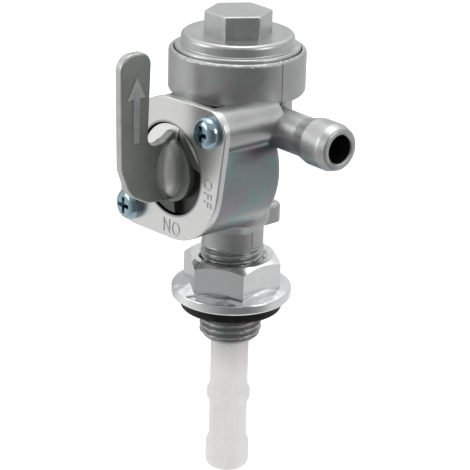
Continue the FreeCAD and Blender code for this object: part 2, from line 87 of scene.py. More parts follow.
# Arrow on the lever: place and sizes in its YZ plane, and its rows as X and how far they are drawn in
ARROW_Y = -28.3
ARROW_FOOT = 44.2
ARROW_SHAFT_HALF = 0.85
ARROW_SHAFT_LENGTH = 9.6
ARROW_HEAD_HALF = 2.5
ARROW_HEAD_LENGTH = 4.9
ARROW_TOP = 1.6
ARROW_ROWS = ((FIN_HALF - 0.05, 0.0), (ARROW_TOP - 0.22, 0.05), (ARROW_TOP - 0.06, 0.14), (ARROW_TOP, 0.3))

# Filter cap, as on the solid, with its flange's top and its hexagon's edges as the photograph shows them
CAP_PLUG_R = 12.0
CAP_PLUG_END = 54.4
CAP_PLUG_CHAMFER = 0.6
CAP_SEAT = 59.4
CAP_HOLLOW_R = 9.7
CAP_HOLLOW_ROUND = 0.8
CAP_CROWN = 61.8
CAP_FLANGE_R = 13.55
CAP_FLANGE_TOP = 61.05
CAP_FLANGE_ROUND = 0.5
CAP_FLANGE_CHAMFER = 0.1
CAP_DISC_R = 12.3
CAP_DISC_TOP = 63.6
CAP_DISC_FILLET = 0.28
CAP_DISC_ROUND = 0.95
CAP_DISC_BORDER = 1.1
CAP_HEX_HALF = 6.5
CAP_HEX_TOP = 68.4
CAP_HEX_ROUND = 0.42
CAP_HEX_BORDER = 0.55
CAP_HEX_CLEAR = 1.2
CAP_HEX_FOOT = 0.08
CAP_HEX_TURN = -2.2
CAP_THREAD_LEAD = 1.5
CAP_THREAD_DEPTH = 0.65
CAP_THREAD_START = (0.5, 1.0)
CAP_THREAD_STOP = (0.9, 1.5)


# Mesh helpers


def linked(name, data):
    """A new object in the scene that holds the data."""
    piece = bpy.data.objects.new(name, data)
    bpy.context.collection.objects.link(piece)
    return piece


def grid_piece(name, points, closed_v=False, caps=False):
    """Mesh from a grid of points with shape (rows, columns, 3) in millimetres.

    Each cell of the grid is one quad. closed_v joins the last column to the first, and caps closes the
    first and last row with one flat face each.
    """
    rows, columns = points.shape[:2]
    index = np.arange(rows * columns).reshape(rows, columns)
    if closed_v:
        index = np.hstack([index, index[:, :1]])
    quads = np.stack([index[:-1, :-1], index[:-1, 1:], index[1:, 1:], index[1:, :-1]], -1).reshape(-1, 4)
    faces = quads.tolist()
    if caps:
        ring = index[:, :columns]
        faces += [ring[0][::-1].tolist(), ring[-1].tolist()]
    mesh = bpy.data.meshes.new(name)
    mesh.from_pydata((points.reshape(-1, 3) * MM).tolist(), [], faces)
    mesh.update()
    return linked(name, mesh)


def wound(radius, angle, z):
    """Points at a radius and an angle about the thread's axis, at a height."""
    return np.stack([radius * np.cos(angle), radius * np.sin(angle), z], -1)


def smooth(piece, degrees):
    """Smooth shading, with edges sharper than the angle left sharp."""
    mesh = piece.data
    mesh.shade_smooth()
    mesh.set_sharp_from_angle(angle=np.radians(degrees))
    return piece


def read(items, label, width=1, kind=float):
    """One property of a mesh's points, corners or faces as an array, in rows where the width is over 1."""
    values = np.empty(len(items) * width, kind)
    items.foreach_get(label, values)
    return values.reshape(-1, width) if width > 1 else values


def merge_points(mesh, outward=False):
    """Join a mesh's loose triangles at their points, and turn its faces outward if asked."""
    edit = bmesh.new()
    edit.from_mesh(mesh)
    bmesh.ops.remove_doubles(edit, verts=edit.verts, dist=1e-7)
    if outward:
        bmesh.ops.recalc_face_normals(edit, faces=edit.faces)
    edit.to_mesh(mesh)
    edit.free()


def merged_copy(solid, name):
    """A copy of a CAD node's mesh as its own piece, with its loose triangles joined.

    The corners keep the normals of the solid's true surfaces, unless the join drops a face.
    """
    mesh = NODES[solid].data.copy()
    mesh.name = name
    piece = linked(name, mesh)
    true_normals = read(mesh.corner_normals, "vector", 3)
    merge_points(mesh)
    mesh.shade_smooth()
    if len(mesh.loops) == len(true_normals):
        mesh.normals_split_custom_set(true_normals.tolist())
    return piece


def soften(piece, chosen):
    """Give every corner at the chosen points the mean of its point's corner normals."""
    mesh = piece.data
    normals = read(mesh.corner_normals, "vector", 3)
    points = read(mesh.loops, "vertex_index", kind=int)
    mean = np.zeros((len(mesh.vertices), 3))
    np.add.at(mean, points, normals)
    mean /= np.maximum(np.linalg.norm(mean, axis=1, keepdims=True), 1e-9)
    soft = chosen[points]
    normals[soft] = mean[points[soft]]
    mesh.normals_split_custom_set(normals.tolist())


def flat_faces(piece, axis, square=0.9995):
    """Give every corner of the faces square to one axis that axis as its normal, so they shade flat."""
    mesh = piece.data
    normals = read(mesh.corner_normals, "vector", 3)
    count = read(mesh.polygons, "loop_total", kind=int)
    facing = np.repeat(read(mesh.polygons, "normal", 3)[:, axis], count)
    flat = np.abs(facing) > square
    normals[flat] = 0.0
    normals[flat, axis] = np.sign(facing[flat])
    mesh.normals_split_custom_set(normals.tolist())
    return piece


def evaluated_mesh(piece):
    """A new mesh of what a piece's modifiers or letters give."""
    bpy.context.view_layer.update()
    return bpy.data.meshes.new_from_object(piece.evaluated_get(bpy.context.evaluated_depsgraph_get()))


def ramp(x, low, high):
    """0 below low, 1 above high, and a smooth cubic between them."""
    t = np.clip((x - low) / (high - low), 0.0, 1.0)
    return t * t * (3 - 2 * t)


def rounded(corners, steps=7):
    """Profile of straight runs with arcs at its corners, each given as radius, height and arc radius.

    An arc touches both runs: it starts and ends the arc radius over the tangent of half the corner's
    angle away, and its points turn evenly about the point that far inside the corner.
    """
    spots = np.array([corner[:2] for corner in corners], float)
    path = [spots[:1]]
    for before, spot, after, corner in zip(spots[:-2], spots[1:-1], spots[2:], corners[1:-1]):
        bend = corner[2] if len(corner) > 2 else 0.0
        if not bend:
            path.append(spot[None])
            continue
        back = (before - spot) / np.linalg.norm(before - spot)
        onward = (after - spot) / np.linalg.norm(after - spot)
        half = np.arccos(back @ onward) / 2
        middle = spot + (back + onward) / np.linalg.norm(back + onward) * bend / np.sin(half)
        start = spot + back * bend / np.tan(half) - middle
        end = spot + onward * bend / np.tan(half) - middle
        sweep = np.pi - 2 * half
        share = np.linspace(0, 1, steps)[:, None]
        arc = (np.sin((1 - share) * sweep) * start + np.sin(share * sweep) * end) / np.sin(sweep)
        path.append(middle + arc)
    return np.vstack(path + [spots[-1:]])


def hexagon_share(angle, turn, sharpness=44):
    """How far a hexagon with soft corners reaches at an angle, as a share of half its width.

    The reach is one over a high power mean of the cosines to its six flats.
    """
    flats = np.radians(turn + 30 + 60 * np.arange(6))
    near = np.maximum(np.cos(angle[:, None] - flats), 0)
    return (near ** sharpness).sum(axis=1) ** (-1 / sharpness)


def thread_rise(z, angle, lead):
    """How far a thread rises from its root, as a share of its depth.

    It is a trapezoid of the height less the lead times the turns made.
    """
    phase = np.mod(z / lead - angle / (2 * np.pi), 1.0)
    return np.clip((1 - np.abs(2 * phase - 1) - THREAD_FLOOR) / THREAD_FLANK, 0, 1)


# Pieces


def cap_piece(name):
    """Filter cap as one surface: its threaded plug, flange, disc and hexagon are rows of one grid.

    A row's radius is its profile's, times the hexagon's share on the rows of the hexagon. On the plug
    the radius dips by the thread's depth, less the thread's rise. The columns crowd towards the
    hexagon's corners by a sine of their place on its side.
    """
    columns_a_side, crowding, thread_rows = 30, 0.8, 50
    crown_r, top_r, step, sliver = 0.5, 0.4, 0.05, 0.02
    side = np.linspace(0, 1, columns_a_side, endpoint=False)
    crowded = side - crowding * np.sin(2 * np.pi * side) / (2 * np.pi)
    angle = np.radians(CAP_HEX_TURN) + (np.arange(6)[:, None] + crowded).ravel() * np.pi / 3
    inside = rounded([(crown_r, CAP_CROWN), (CAP_HOLLOW_R, CAP_CROWN, CAP_HOLLOW_ROUND),
                      (CAP_HOLLOW_R, CAP_PLUG_END), (CAP_PLUG_R - CAP_PLUG_CHAMFER, CAP_PLUG_END)])
    cut = np.linspace(CAP_PLUG_END + step, CAP_SEAT - step, thread_rows)
    chamfered = CAP_PLUG_R - CAP_PLUG_CHAMFER + cut - CAP_PLUG_END
    plug = np.column_stack([np.minimum(CAP_PLUG_R, chamfered), cut])
    outside = rounded([(CAP_PLUG_R, CAP_SEAT - sliver), (CAP_PLUG_R, CAP_SEAT),
                       (CAP_FLANGE_R - CAP_FLANGE_CHAMFER, CAP_SEAT),
                       (CAP_FLANGE_R, CAP_SEAT + CAP_FLANGE_CHAMFER),
                       (CAP_FLANGE_R, CAP_FLANGE_TOP, CAP_FLANGE_ROUND),
                       (CAP_DISC_R, CAP_FLANGE_TOP, CAP_DISC_FILLET),
                       (CAP_DISC_R, CAP_DISC_TOP, CAP_DISC_ROUND),
                       (CAP_DISC_R - CAP_DISC_BORDER, CAP_DISC_TOP),
                       (CAP_HEX_HALF + CAP_HEX_CLEAR, CAP_DISC_TOP)])
    head = rounded([(CAP_HEX_HALF, CAP_DISC_TOP), (CAP_HEX_HALF, CAP_DISC_TOP + CAP_HEX_FOOT),
                    (CAP_HEX_HALF, CAP_HEX_TOP, CAP_HEX_ROUND),
                    (CAP_HEX_HALF - CAP_HEX_BORDER, CAP_HEX_TOP), (top_r, CAP_HEX_TOP)])
    profile = np.vstack([inside, plug, outside, head])
    threaded = slice(len(inside), len(inside) + len(plug))
    radius = np.repeat(profile[:, :1], len(angle), axis=1)
    z = np.repeat(profile[:, 1:], len(angle), axis=1)
    reach = ramp(cut - CAP_PLUG_END, *CAP_THREAD_START) * ramp(CAP_SEAT - cut, *CAP_THREAD_STOP)
    dip = CAP_THREAD_DEPTH * (1 - thread_rise(z[threaded], angle, CAP_THREAD_LEAD))
    radius[threaded] -= dip * reach[:, None]
    radius[-len(head):] *= hexagon_share(angle, CAP_HEX_TURN)
    return smooth(grid_piece(name, wound(radius, angle, z), closed_v=True, caps=True), degrees=40)


def thread_piece(name):
    """The stem's thread as one surface: its radius is a function of the angle and the height.

    The radius rises from the root to the crest as the thread's trapezoid, is held under a cone at the
    lower end, and fills up to the crest where it runs out.
    """
    columns, rows_a_turn = 120, 16
    runout_start, runout_end, runout_short = 1.6, 0.5, 0.08
    first, tuck = 0.02, 0.25
    turn = np.linspace(0, 2 * np.pi, columns, endpoint=False)
    rows = int((THREAD_HIGH - THREAD_LOW) / THREAD_LEAD * rows_a_turn)
    z, angle = np.meshgrid(np.linspace(THREAD_LOW + first, THREAD_HIGH, rows), turn, indexing="ij")
    depth = THREAD_R - THREAD_ROOT_R
    radius = THREAD_ROOT_R + depth * thread_rise(z, angle, THREAD_LEAD)
    filled = ramp(z, THREAD_HIGH - runout_start, THREAD_HIGH - runout_end)
    radius = np.maximum(radius, THREAD_ROOT_R + (depth - runout_short) * filled)
    radius = np.minimum(radius, THREAD_R - THREAD_CHAMFER + np.maximum(z - THREAD_LOW, 0))
    rim = np.full((1, len(turn)), THREAD_ROOT_R - tuck)
    radius = np.vstack([rim, radius, rim])
    z = np.vstack([z[:1], z, z[-1:]])
    angle = np.vstack([angle[:1], angle, angle[-1:]])
    return smooth(grid_piece(name, wound(radius, angle, z), closed_v=True), degrees=50)


def parting_line(name, profile):
    """Thin bead left by the mould's joint: a round section carried along a profile in XZ.

    The section is a circle of the bead's half width, stood on the profile's outward normal.
    """
    sides = 12
    path = np.array(profile, float)
    step = np.gradient(path, axis=0)
    normal = np.stack([step[:, 1], -step[:, 0]], -1)
    normal /= np.linalg.norm(normal, axis=1, keepdims=True)
    around = np.linspace(0, 2 * np.pi, sides, endpoint=False)
    out = PARTING_HALF * np.cos(around)
    across = PARTING_HALF * np.sin(around)
    x = path[:, :1] + normal[:, :1] * out
    z = path[:, 1:] + normal[:, 1:] * out
    points = np.stack([x, PARTING_Y + np.broadcast_to(across, x.shape), z], -1)
    return smooth(grid_piece(name, points, closed_v=True, caps=True), degrees=80)


def ring_profile():
    """Half the ring's section in the parting plane, with both its edges rounded."""
    edge, over_top, under_foot = 0.8, 1.0, 1.9
    x = (RING_R ** 2 - PARTING_Y ** 2) ** 0.5
    return rounded([(x - over_top, RING_HIGH), (x, RING_HIGH, edge), (x, RING_LOW, edge),
                    (x - under_foot, RING_LOW)])


def neck_profile():
    """The neck's side in the parting plane: three points straight down."""
    x = (NECK_R ** 2 - PARTING_Y ** 2) ** 0.5
    return [(x, NECK_HIGH), (x, (NECK_HIGH + NECK_LOW) / 2), (x, NECK_LOW)]


def arrow_outline(inset):
    """Outline in YZ of the arrow on the lever, drawn in by the inset on every side.

    The tip moves down by the inset over the sine of half its angle, and the head's corners follow.
    """
    steep = ARROW_HEAD_LENGTH / np.hypot(ARROW_HEAD_LENGTH, ARROW_HEAD_HALF)
    blunt = ARROW_HEAD_HALF / np.hypot(ARROW_HEAD_LENGTH, ARROW_HEAD_HALF)
    shaft = ARROW_SHAFT_HALF - inset
    foot = ARROW_FOOT + inset
    base = ARROW_FOOT + ARROW_SHAFT_LENGTH + inset
    tip = base + ARROW_HEAD_LENGTH - inset - inset / blunt
    wide = (tip - base) * blunt / steep
    return np.array([(-shaft, foot), (shaft, foot), (shaft, base), (wide, base), (0.0, tip), (-wide, base),
                     (-shaft, base)]) + (ARROW_Y, 0.0)


def raised_arrow(name):
    """Raised arrow: its outline in YZ pushed along X in four rows, which are drawn in for soft edges."""
    x, insets = np.array(ARROW_ROWS).T
    outlines = np.stack([arrow_outline(inset) for inset in insets])
    x = np.broadcast_to(x[:, None, None], (*outlines.shape[:2], 1))
    return grid_piece(name, np.concatenate([x, outlines], axis=-1), closed_v=True, caps=True)


def body_casting(name):
    """Copy of the body whose stem is turned down to just under the thread's root.

    Every outside point of the stem keeps its angle and height, and its radius is held under the root.
    """
    root_clear, runout_tuck, ledge = 0.1, 0.3, 0.7
    piece = merged_copy("valve_body", name)
    spots = read(piece.data.vertices, "co", 3)
    radius = np.hypot(spots[:, 0], spots[:, 1])
    outside = (radius > STEM_SKIN[0] * MM) & (radius < STEM_SKIN[1] * MM)
    stem = (spots[:, 2] < STEM_END * MM) & outside
    held = np.minimum(radius, (THREAD_ROOT_R - root_clear) * MM) / np.maximum(radius, 1e-9)
    spots[stem, :2] *= held[stem, None]
    # The neck's smooth part reaches down to where the thread runs out
    upper = stem & (spots[:, 2] > (STEM_END - runout_tuck) * MM)
    spots[upper, 2] = (THREAD_HIGH - runout_tuck) * MM
    neck = outside & (spots[:, 2] > STEM_END * MM) & (spots[:, 2] < (STEM_END + ledge) * MM)
    spots[neck, 2] = THREAD_HIGH * MM
    piece.data.vertices.foreach_set("co", spots.ravel())
    piece.data.update()
    # The spigot swells softly into its bulge
    x = spots[:, 0] / MM
    off_axis = np.hypot(spots[:, 1], spots[:, 2] - SPIGOT_Z * MM) / MM
    swelling = (x > SPIGOT_RAMP[0]) & (x < SPIGOT_RAMP[1])
    soften(piece, swelling & (off_axis > SPIGOT_RAMP_R[0]) & (off_axis < SPIGOT_RAMP_R[1]))
    return piece


def stamped_word(word, across, middle, turn, height, length):
    """Solid letters that reach from just in front of the plate's face to the stamp's floor.

    across is the word's place along X and middle its height in mm, and turn leans it in the plate's
    plane. The font's letters are drawn out to the height and the word's length.
    """
    curve = bpy.data.curves.new("letters", "FONT")
    curve.body = word
    curve.size = height * MM
    curve.space_character = LETTER_SPACE
    curve.align_x = "CENTER"
    curve.align_y = "CENTER"
    curve.offset = STROKE_GROW * MM
    curve.extrude = STAMP_DEPTH * MM
    flat = linked("letters", curve)
    mesh = evaluated_mesh(flat)
    bpy.data.objects.remove(flat)
    bpy.data.curves.remove(curve)
    spots = read(mesh.vertices, "co", 3)
    lowest, highest = spots.min(axis=0), spots.max(axis=0)
    wanted = np.array([length, height, 2 * STAMP_DEPTH]) * MM
    spots = (spots - (lowest + highest) / 2) * wanted / (highest - lowest)
    mesh.vertices.foreach_set("co", spots.ravel())
    upright = Matrix.Rotation(np.radians(90.0), 4, "X")
    leaning = Matrix.Rotation(np.radians(turn), 4, "Y")
    mesh.transform(Matrix.Translation((across * MM, PLATE_FACE * MM, middle * MM)) @ leaning @ upright)
    mesh.materials.append(STAMP_FINISH_AND_SHADE)
    merge_points(mesh, outward=True)
    return linked("letters", mesh)


def stamped_plate(name):
    """Copy of the retainer plate with ON and OFF sunk into its face, the solid letters cut out of it."""
    piece = dress(merged_copy("retainer_plate", name), PLATE)
    for stamp in STAMPS:
        letters = stamped_word(*stamp)
        cut = piece.modifiers.new("stamp", "BOOLEAN")
        cut.operation = "DIFFERENCE"
        cut.solver = "EXACT"
        cut.material_mode = "TRANSFER"
        cut.object = letters
        stamped = evaluated_mesh(piece)
        piece.modifiers.clear()
        old, piece.data = piece.data, stamped
        bpy.data.meshes.remove(old)
        bpy.data.objects.remove(letters)
    return flat_faces(smooth(piece, degrees=30), axis=1)


# Shader helpers


def fill(tree, made, inputs):
    """Give a node's inputs, each as a value or as a link."""
    for key, value in inputs.items():
        if isinstance(value, bpy.types.NodeSocket):
            tree.links.new(value, made.inputs[key])
        else:
            made.inputs[key].default_value = value


def node(tree, kind, inputs, **settings):
    """One shader node with its settings and inputs."""
    made = tree.nodes.new(kind)
    for key, value in settings.items():
        setattr(made, key, value)
    fill(tree, made, inputs)
    return made


def empty_material(name):
    """A node material with no nodes yet."""
    mat = bpy.data.materials.new(name)
    mat.use_nodes = True
    mat.node_tree.nodes.clear()
    return mat, mat.node_tree


def material(name):
    """A node material with its Principled shader."""
    mat, tree = empty_material(name)
    shader = tree.nodes.new("ShaderNodeBsdfPrincipled")
    node(tree, "ShaderNodeOutputMaterial", {"Surface": shader.outputs[0]})
    return mat, tree, shader


def new_group(name, ins, outs):
    """A node group with named inputs (name, kind, value) and outputs (name, kind)."""
    tree = bpy.data.node_groups.new(name, "ShaderNodeTree")
    for label, kind, value in ins:
        socket = tree.interface.new_socket(label, in_out="INPUT", socket_type=kind)
        socket.default_value = value
    for label, kind in outs:
        tree.interface.new_socket(label, in_out="OUTPUT", socket_type=kind)
    return tree, tree.nodes.new("NodeGroupInput"), tree.nodes.new("NodeGroupOutput")


def use_group(tree, group, inputs):
    """Place a node group and give its inputs."""
    return node(tree, "ShaderNodeGroup", inputs, node_tree=group)


def calc(tree, operation, a, b=0.0, c=0.0):
    """One Math node; each operand is a number or a socket."""
    return node(tree, "ShaderNodeMath", {0: a, 1: b, 2: c}, operation=operation).outputs[0]


def times(tree, first, *others):
    """Product of two or more values."""
    for other in others:
        first = calc(tree, "MULTIPLY", first, other)
    return first


def vector(tree, operation, a, b=(0.0, 0.0, 0.0)):
    """One Vector Math node; a length, distance or dot product gives a value, the others a vector."""
    kind = "Value" if operation in ("LENGTH", "DISTANCE", "DOT_PRODUCT") else "Vector"
    return node(tree, "ShaderNodeVectorMath", {0: a, 1: b}, operation=operation).outputs[kind]


def axes(tree, place):
    """The three numbers of a place or a direction."""
    return node(tree, "ShaderNodeSeparateXYZ", {0: place}).outputs


def grey(tree, value):
    """A value as a colour, the same in all three channels."""
    return node(tree, "ShaderNodeCombineXYZ", {0: value, 1: value, 2: value}).outputs[0]


def from_axis(tree, place, across, height=0.0):
    """Distance from an axis at a height in mm: across is 1 for the two directions square to it."""
    return vector(tree, "DISTANCE", vector(tree, "MULTIPLY", place, across), (0.0, 0.0, height * MM))


def mix_colour(tree, share, a, b, blend="MIX"):
    """One colour mix; each side is a colour or a socket."""
    a, b = ((*side, 1.0) if isinstance(side, tuple) else side for side in (a, b))
    made = node(tree, "ShaderNodeMix", {0: share, 6: a, 7: b}, data_type="RGBA", blend_type=blend)
    return made.outputs[2]


def tinted(tree, colour, film, share=1.0):
    """A colour multiplied by another, or by a share of it."""
    return mix_colour(tree, share, colour, film, "MULTIPLY")


def noise(tree, place, scale, detail=3.0, rough=0.5):
    """Noise value at a place, scale in cycles per metre."""
    inputs = {"Vector": place, "Scale": scale, "Detail": detail, "Roughness": rough}
    return node(tree, "ShaderNodeTexNoise", inputs).outputs[0]


def spread(tree, value, low, high, to_low, to_high, curve="LINEAR"):
    """Value remapped from one range to another, held at its ends."""
    inputs = {0: value, 1: low, 2: high, 3: to_low, 4: to_high}
    return node(tree, "ShaderNodeMapRange", inputs, clamp=True, interpolation_type=curve).outputs[0]


def rises(tree, value, band):
    """Mask that goes from 0 to 1 over a band in millimetres."""
    return spread(tree, value, band[0] * MM, band[1] * MM, 0.0, 1.0)


def falls(tree, value, band):
    """Mask that goes from 1 to 0 over a band in millimetres."""
    return spread(tree, value, band[0] * MM, band[1] * MM, 1.0, 0.0)


def middle_of(tree, value, to_low, to_high):
    """The middle part of a noise value, where most of it lies, spread over a range."""
    return spread(tree, value, 0.3, 0.7, to_low, to_high)


def object_place(tree):
    """Object coordinates, in metres."""
    return tree.nodes.new("ShaderNodeTexCoord").outputs["Object"]


def bump(tree, height, strength, distance):
    """Normal from a height, distance in millimetres."""
    inputs = {"Height": height, "Strength": strength, "Distance": distance * MM}
    return node(tree, "ShaderNodeBump", inputs).outputs[0]


# Finishes

# Colours and values that multiply a metal's own
PINK_FILM = (1.18, 0.83, 1.0)
GREEN_FILM = (0.76, 1.09, 1.0)
BLOTCH_DARK = (0.86, 0.87, 0.87)
BLOTCH_LIGHT = (1.07, 1.06, 1.06)
# Darkens the drum's side
DRUM_DARKER = (0.62, 0.69, 0.72)
# Painted shade on the nut's flange
FLANGE_PAINTED_SHADE = (0.82, 0.83, 0.84)
# Painted light on the spigot, less over its bulge
SPIGOT_PAINTED_LIGHT = 1.5
BULGE_PAINTED_LIGHT = 1.05

# Colours of single places
# Painted shade in the spigot's bore
BORE_PAINTED_SHADE = (0.035, 0.037, 0.037)
RUBBED_DOME = (0.5, 0.5, 0.49)
# Rubbed rim of the lever, partly a painted highlight
WORN_RIM_AND_HIGHLIGHT = (0.47, 0.48, 0.465)
# Painted shade on the rotor's sunk face and the stop face's foot
SUNK_FACE_PAINTED_SHADE = (0.11, 0.115, 0.11)
# Machined stop face, whose bright part is partly a painted reflection
MACHINED_FACE_AND_SHEEN = (0.86, 0.86, 0.85)
TONGUE_GREY = (0.17, 0.175, 0.175)
TONGUE_SHARE = 0.75
# Painted shade on the plate window's wall
WINDOW_WALL_PAINTED_SHADE = (0.1, 0.1, 0.1)

# Bands on the body in which a mask goes from one end to the other, in millimetres
FILM_BACK_Y = (-1.8, -0.4)
FILM_TOP_Z = (48.0, 51.0)
FILM_FOOT_Z = (19.5, 21.5)
FILM_RIGHT_X = (14.5, 16.5)
DRUM_TOP_Z = (42.5, 44.5)
DRUM_FOOT_Z = (26.6, 28.4)
SPIGOT_ROOT_X = (16.5, 20.5)
SPIGOT_SKIN_R = (5.6, 6.2)
BULGE_X = (23.5, 28.5)
BORE_WALL_R = (SPIGOT_BORE_R - 0.02, SPIGOT_BORE_R + 0.12)
BORE_END_X = (9.0, 10.0)
RING_EDGE_Z = (RING_HIGH - 1.0, RING_HIGH - 0.5)
RING_EDGE_ROUGH = 26.0

# Bands on the lever
FIN_FOOT_Y = (-23.8, -22.6)
ARROW_SKIN_X = (ARROW_TOP - 0.2, ARROW_TOP - 0.06)
DOME_FOOT_Y = (-20.4, -19.6)
STOP_FACE_DEPTH = (0.08, 0.12)
STOP_FACE_Z = (38.5, 39.5)
STOP_FACE_X = (2.2, 2.8)
STOP_FACE_FOOT_Z = (33.0, 36.0)
ROTOR_SUNK_Y = (-17.6, -17.2)

# Bands on the plate, the nut, the cap and the standpipe
WINDOW_R = (10.4, 10.8)
FLANGE_FOOT_Z = (4.8, 5.2)
FLANGE_TOP_Z = (5.9, 6.7)
FLANGE_WAVES = 8.0
CAP_DISC_Z = (CAP_DISC_TOP + 0.02, CAP_DISC_TOP + 0.1)
# Painted shadow on the standpipe towards the stem
PIPE_SHADE_Z = (-15.5, -8.5)
PIPE_SHADE = 0.76


def cast_surface_group():
    """Dull cast metal: blotches, fine grain, and the faint pink and green of its passivation."""
    tree, ins, outs = new_group(
        "cast_surface",
        [("Place", "NodeSocketVector", (0, 0, 0)), ("Base", "NodeSocketColor", (0.4, 0.4, 0.4, 1)),
         ("Tint", "NodeSocketFloat", 0.3)],
        [("Color", "NodeSocketColor"), ("Roughness", "NodeSocketFloat"), ("Height", "NodeSocketFloat")])
    place = ins.outputs["Place"]
    blotch = noise(tree, place, 130.0, detail=4.0, rough=0.6)
    grain = noise(tree, place, 1900.0, detail=3.0, rough=0.6)
    moved = vector(tree, "ADD", place, (0.31, 0.17, 0.23))
    shade = mix_colour(tree, middle_of(tree, blotch, 0.0, 1.0), BLOTCH_DARK, BLOTCH_LIGHT)
    colour = tinted(tree, ins.outputs["Base"], shade)
    pinks = noise(tree, place, 300.0, detail=2.0)
    greens = noise(tree, moved, 260.0, detail=2.0)
    for clouds, film in ((pinks, PINK_FILM), (greens, GREEN_FILM)):
        patches = spread(tree, clouds, 0.5, 0.66, 0.0, 1.0)
        colour = tinted(tree, colour, film, times(tree, patches, ins.outputs["Tint"]))
    fill(tree, outs, {"Color": colour, "Roughness": middle_of(tree, blotch, 0.31, 0.42),
                      "Height": calc(tree, "MULTIPLY_ADD", blotch, 2.0, grain)})
    return tree


def brushed_group():
    """Fine scratches: noise drawn out along one direction by the Stretch, as a mask."""
    tree, ins, outs = new_group(
        "brushed", [("Place", "NodeSocketVector", (0, 0, 0)), ("Stretch", "NodeSocketVector", (1, 1, 1))],
        [("Mask", "NodeSocketFloat")])
    drawn = vector(tree, "MULTIPLY", ins.outputs["Place"], ins.outputs["Stretch"])
    fill(tree, outs, {"Mask": noise(tree, drawn, 1.0, detail=4.0, rough=0.6)})
    return tree


CAST = cast_surface_group()
BRUSHED = brushed_group()


def body_metal(name, base, tint, grain):
    """Cast zinc of the body, with what is particular to its places.

    The spigot has painted light, less over its bulge, and its bore, where the distance from its axis stays
    under its radius, is painted black as painted shade. The drum's side is darker, and the ring's top edge
    is rough from trimming.
    """
    mat, tree, shader = material(name)
    place = object_place(tree)
    x, y, z = axes(tree, place)
    front = falls(tree, y, FILM_BACK_Y)
    filmed = times(tree, falls(tree, z, FILM_TOP_Z), rises(tree, z, FILM_FOOT_Z), front,
                   falls(tree, x, FILM_RIGHT_X))
    strength = spread(tree, filmed, 0.0, 1.0, *tint)
    look = use_group(tree, CAST, {"Place": place, "Base": (*base, 1.0), "Tint": strength})
    # The drum's side is darker
    drum = times(tree, falls(tree, z, DRUM_TOP_Z), rises(tree, z, DRUM_FOOT_Z), front)
    colour = tinted(tree, look.outputs["Color"], DRUM_DARKER, drum)
    away = from_axis(tree, place, (0.0, 1.0, 1.0), SPIGOT_Z)
    # The spigot is painted lighter, a painted light that lessens over its bulge
    painted_light = spread(tree, x, BULGE_X[0] * MM, BULGE_X[1] * MM, SPIGOT_PAINTED_LIGHT, BULGE_PAINTED_LIGHT)
    spigot = times(tree, rises(tree, x, SPIGOT_ROOT_X), falls(tree, away, SPIGOT_SKIN_R))
    colour = tinted(tree, colour, grey(tree, painted_light), spigot)
    # The bore is painted black, a painted shade
    bore = times(tree, falls(tree, away, BORE_WALL_R), rises(tree, x, BORE_END_X))
    colour = mix_colour(tree, bore, colour, BORE_PAINTED_SHADE)
    rough = times(tree, rises(tree, z, RING_EDGE_Z), RING_EDGE_ROUGH, noise(tree, place, 900.0, detail=2.0))
    height = calc(tree, "ADD", look.outputs["Height"], rough)
    fill(tree, shader, {"Base Color": colour, "Roughness": look.outputs["Roughness"],
                        "Normal": bump(tree, height, grain, distance=0.05), "Metallic": 0.92})
    return mat


